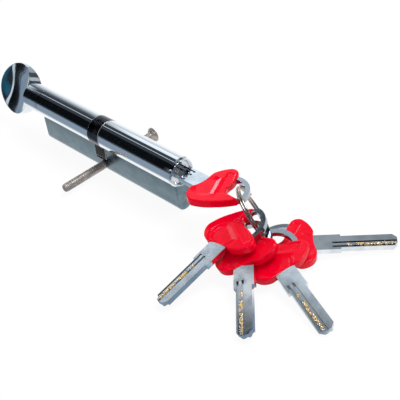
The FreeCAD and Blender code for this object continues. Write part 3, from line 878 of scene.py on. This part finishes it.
def makeBowMesh(shape):
    half = shape["thickness"] / 2
    work = bmesh.new()
    ring = [work.verts.new((x, y, -half)) for x, y in bowOutline(shape)]
    face = work.faces.new(ring)
    grown = bmesh.ops.extrude_face_region(work, geom=[face])
    for item in grown["geom"]:
        if isinstance(item, bmesh.types.BMVert):
            item.co.z = half
    bmesh.ops.recalc_face_normals(work, faces=work.faces)
    mesh = bpy.data.meshes.new("bowBlock")
    work.to_mesh(mesh)
    work.free()
    block = newPiece("bowBlock", mesh)
    bevel = block.modifiers.new("softEdge", "BEVEL")
    bevel.width = shape["edgeRound"]
    bevel.segments = shape["edgeSegments"]
    bevel.limit_method = "ANGLE"
    bevel.angle_limit = math.radians(shape["edgeAngle"])
    bevel.use_clamp_overlap = True
    remesh = block.modifiers.new("evenSkin", "REMESH")
    remesh.mode = "VOXEL"
    remesh.voxel_size = shape["voxel"]
    smooth = block.modifiers.new("softSkin", "SMOOTH")
    smooth.factor, smooth.iterations = shape["softening"]
    mesh = bakeModifiers(block)
    co = np.empty(len(mesh.vertices) * 3)
    mesh.vertices.foreach_get("co", co)
    co = co.reshape(-1, 3)
    sink, label = bowHeights(co, shape)
    start, growth = shape["faceDepth"]
    facing = ease(np.clip((np.abs(co[:, 2]) - half + start) / growth, 0, 1))
    sign = np.sign(co[:, 2])
    keySpace = mesh.attributes.new("keySpace", "FLOAT_VECTOR", "POINT")
    keySpace.data.foreach_set("vector", co.ravel())
    zone = mesh.attributes.new("labelZone", "FLOAT", "POINT")
    zone.data.foreach_set("value", label * facing)
    co[:, 2] += sign * sink * facing
    mesh.vertices.foreach_set("co", co.ravel())
    smoothAll(mesh)
    bpy.data.objects.remove(block)
    return mesh


bowMesh = makeBowMesh(bowShape)
blankEdge = 0.10
for name in keyRests:
    toFrame = keyMatrix(name) @ Matrix.Scale(mm, 4)
    mesh = bowMesh.copy()
    mesh.transform(toFrame)
    bow = newPiece(name + "_bowMoulded", mesh)
    finishPiece(bow, "bowPlastic", name, [name + "_bow"])
    blank = nodeCopy(name + "_blank", name + "_blankCut")
    breakEdges(blank, blankEdge)
    back = toFrame.inverted()
    keySpace = blank.data.attributes.new("keySpace", "FLOAT_VECTOR", "POINT")
    for vertex, item in zip(blank.data.vertices, keySpace.data):
        item.vector = back @ vertex.co
    finishPiece(blank, "keySteel", name, [name + "_blank"])
print("keys made")

# Inner nodes keep their CAD shape and get their finish
innerNodes = {
    "chamber_plugs": "brassTurned",
    "plug_circlip": "springSteel",
    "rotor_circlip": "springSteel",
    "coupler": "plugSteel",
    "thumbturn_rotor": "plugSteel",
    "knob_grub_screw": "springSteel",
}
for index in range(1, 6):
    innerNodes["key_pin_%d" % index] = "brassTurned"
    innerNodes["driver_pin_%d" % index] = "brassTurned"
for node, materialName in innerNodes.items():
    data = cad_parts[node].data
    data.materials.clear()
    data.materials.append(materials[materialName])
print("inner nodes finished:", len(innerNodes))

# Floor, light and surroundings
stageSetup = {
    "floorHeight": -24.5 * mm,
    "floorHalf": 3.0,
    "floorPaint": (0.92, 0.93, 0.94, 1),
    "floorShare": 0.92,
    "floorGrey": (0.24, 0.31, 0.39),
    "floorFarGrey": (0.05, 0.07, 0.10),
    "floorFade": (-0.013, -0.030),
    "floorFarFade": (-0.16, -0.70),
    "diffuseStrength": 0.75,
    "redShare": (0.62, 0.36),
    "greenShare": (0.78, 0.21),
    "lampPlace": (0.25, 0.35, 0.9),
    "lampAim": (0.05, 0, 0),
    "lampSize": 0.45,
    "lampPower": 6.0,
}

# Grey of the surroundings that metal mirrors, by angle round the lock's axis: 0 is level behind
# the lock, 90 is overhead and 180 is level in front of it. This list and the next are set
# for this camera's view, so other views mirror whatever falls out of them
surroundings = [
    (-180, 0.40), (-90, 0.60), (-20, 1.0), (6, 0.94), (23, 0.76), (41, 0.44), (56, 0.16), (67, 0.07),
    (78, 0.06), (84, 0.08), (87.4, 0.10), (88.6, 0.92), (90.2, 0.92), (91.4, 0.09), (99, 0.05),
    (111, 0.06), (117, 0.006), (165, 0.006), (173, 0.02), (179, 0.07),
]

# Places beside those that the barrel mirrors: how far the mirrored ray leans along X, the angles
# between which the place lies, and the angles between which its grey runs from one tone to the other,
# which are those of the place where no run is given
coolTint = (0.84, 0.93, 1.0)
besidePlaces = [
    # Blades and bows
    {"lean": (-0.770, -0.778), "place": (62, 102), "run": (83, 73), "tones": (0.66, 1.10)},
    {"lean": (-0.805, -0.825), "place": (32, 44), "tones": (7.0, 7.0)},
    {"lean": (-0.805, -0.825), "place": (90, 106), "tones": (3.0, 3.0)},
    {"lean": (-0.735, -0.69), "place": (34, 64), "run": (47, 53), "tones": (1.10, 1.00)},
    {"lean": (-0.59, -0.55), "place": (30, 64), "run": (47, 55), "tones": (0.16, 0.42)},
    {"lean": (-0.61, -0.60), "place": (80, 92), "tones": (10.0, 10.0)},
    {"lean": (-0.535, -0.525), "place": (60, 94), "run": (79.0, 76.6), "tones": (0.012, 0.85)},
    {"lean": (-0.33, -0.28), "place": (58, 98), "run": (98, 58), "tones": (0.10, 0.42)},
    # Knob's back lobe
    {"lean": (-0.60, -0.50), "place": (4, 33), "tones": (0.62, 0.42)},
    {"lean": (-0.12, -0.04), "place": (4, 33), "tones": (0.05, 0.10)},
    {"lean": (0.24, 0.30), "place": (4, 33), "tones": (0.70, 0.50)},
    {"lean": (0.46, 0.50), "place": (4, 33), "tones": (0.06, 0.06)},
    # Knob's scoop
    {"lean": (-0.665, -0.64), "place": (150, 184), "run": (176, 166), "tones": (0.35, 0.80)},
    {"lean": (-0.595, -0.57), "place": (150, 184), "tones": (0.02, 0.06), "tint": (0.45, 0.70, 1.0)},
    {"lean": (-0.565, -0.54), "place": (150, 166), "run": (157, 166), "tones": (0.40, 0.12),
     "tint": (0.12, 0.62, 1.0)},
    {"lean": (-0.51, -0.49), "place": (150, 161.2), "tones": (0.9, 0.9)},
]


def makeFloor(setup):
    half = setup["floorHalf"]
    work = bmesh.new()
    corners = [(-half, -half), (half, -half), (half, half), (-half, half)]
    work.faces.new([work.verts.new((x, y, setup["floorHeight"])) for x, y in corners])
    mesh = bpy.data.meshes.new("floor")
    work.to_mesh(mesh)
    work.free()
    floor = newPiece("floor", mesh)
    material = bpy.data.materials.new("paleFloor")
    material.use_nodes = True
    material.node_tree.nodes.clear()
    painter = Painter(material.node_tree)
    path = painter.add("ShaderNodeLightPath")
    seen = painter.math("MAXIMUM", path.outputs["Is Camera Ray"], path.outputs["Is Transmission Ray"])
    share = painter.math("MULTIPLY", seen, setup["floorShare"])
    share = painter.math("MAXIMUM", share, path.outputs["Is Glossy Ray"])
    plain = painter.add("ShaderNodeBsdfDiffuse")
    plain.inputs["Color"].default_value = setup["floorPaint"]
    y = painter.axes(painter.add("ShaderNodeNewGeometry").outputs["Position"])["Y"]
    far = painter.band(y, *setup["floorFarFade"])
    grey = painter.mixColour(far, setup["floorGrey"], setup["floorFarGrey"])
    fade = painter.band(y, *setup["floorFade"])
    fade = painter.math("MULTIPLY", fade, path.outputs["Is Glossy Ray"])
    glow = painter.add("ShaderNodeEmission")
    painter.join(painter.mixColour(fade, (1, 1, 1), grey), glow.inputs["Color"])
    out = painter.add("ShaderNodeOutputMaterial")
    painter.join(painter.mixShader(share, plain.outputs[0], glow.outputs[0]), out.inputs["Surface"])
    mesh.materials.append(material)


def lookPastBarrel(painter, side, angle, colour):
    # The keys and the knob mirror places beside the strip that the barrel mirrors
    degrees = painter.math("MULTIPLY", angle, 360 / math.tau)
    for spot in besidePlaces:
        start, end = spot["place"]
        lean = painter.band(side, *spot["lean"])
        mask = painter.math("MULTIPLY", painter.band(degrees, start, start + 1), lean)
        mask = painter.math("MULTIPLY", painter.band(degrees, end, end - 1), mask)
        tone = painter.band(degrees, *spot.get("run", spot["place"]), *spot["tones"])
        shade = painter.add("ShaderNodeCombineColor")
        for socket, share in zip(shade.inputs, spot.get("tint", coolTint)):
            painter.join(painter.math("MULTIPLY", tone, share), socket)
        colour = painter.mixColour(mask, colour, shade.outputs[0])
    return colour


def addBackground(painter, colour, strength=1.0):
    node = painter.add("ShaderNodeBackground")
    painter.feed(colour, node.inputs["Color"])
    node.inputs["Strength"].default_value = strength
    return node.outputs[0]


def makeWorld(setup):
    world = bpy.data.worlds.new("studio")
    bpy.context.scene.world = world
    world.use_nodes = True
    world.node_tree.nodes.clear()
    painter = Painter(world.node_tree)
    direction = painter.axes(painter.add("ShaderNodeTexCoord").outputs["Generated"])
    angle = painter.math("ARCTAN2", direction["Z"], direction["Y"])
    turn = painter.math("MULTIPLY_ADD", angle, 1 / math.tau, 0.5)
    ramp = painter.add("ShaderNodeValToRGB")
    painter.join(turn, ramp.inputs[0])
    stops = ramp.color_ramp.elements
    while len(stops) < len(surroundings):
        stops.new(0.5)
    red, redRise = setup["redShare"]
    green, greenRise = setup["greenShare"]
    for stop, (degrees, grey) in zip(stops, surroundings):
        stop.position = degrees / 360 + 0.5
        stop.color = (grey * (red + redRise * grey), grey * (green + greenRise * grey), grey, 1)
    mirrored = lookPastBarrel(painter, direction["X"], angle, ramp.outputs["Color"])
    around = addBackground(painter, mirrored)
    soft = addBackground(painter, (1, 1, 1), setup["diffuseStrength"])
    white = addBackground(painter, (1, 1, 1))
    path = painter.add("ShaderNodeLightPath")
    lit = painter.mixShader(path.outputs["Is Glossy Ray"], soft, around)
    seen = painter.math("MAXIMUM", path.outputs["Is Camera Ray"], path.outputs["Is Transmission Ray"])
    out = painter.add("ShaderNodeOutputWorld")
    painter.join(painter.mixShader(seen, lit, white), out.inputs["Surface"])


def makeLamp(setup):
    data = bpy.data.lights.new("softLamp", "AREA")
    data.size = setup["lampSize"]
    data.energy = setup["lampPower"]
    lamp = bpy.data.objects.new("softLamp", data)
    lamp.location = setup["lampPlace"]
    aim = Vector(setup["lampAim"]) - lamp.location
    lamp.rotation_euler = aim.to_track_quat("-Z", "Y").to_euler()
    bpy.context.scene.collection.objects.link(lamp)


makeFloor(stageSetup)
makeWorld(stageSetup)
makeLamp(stageSetup)
bpy.context.scene.view_settings.view_transform = "Standard"
print("stage set")
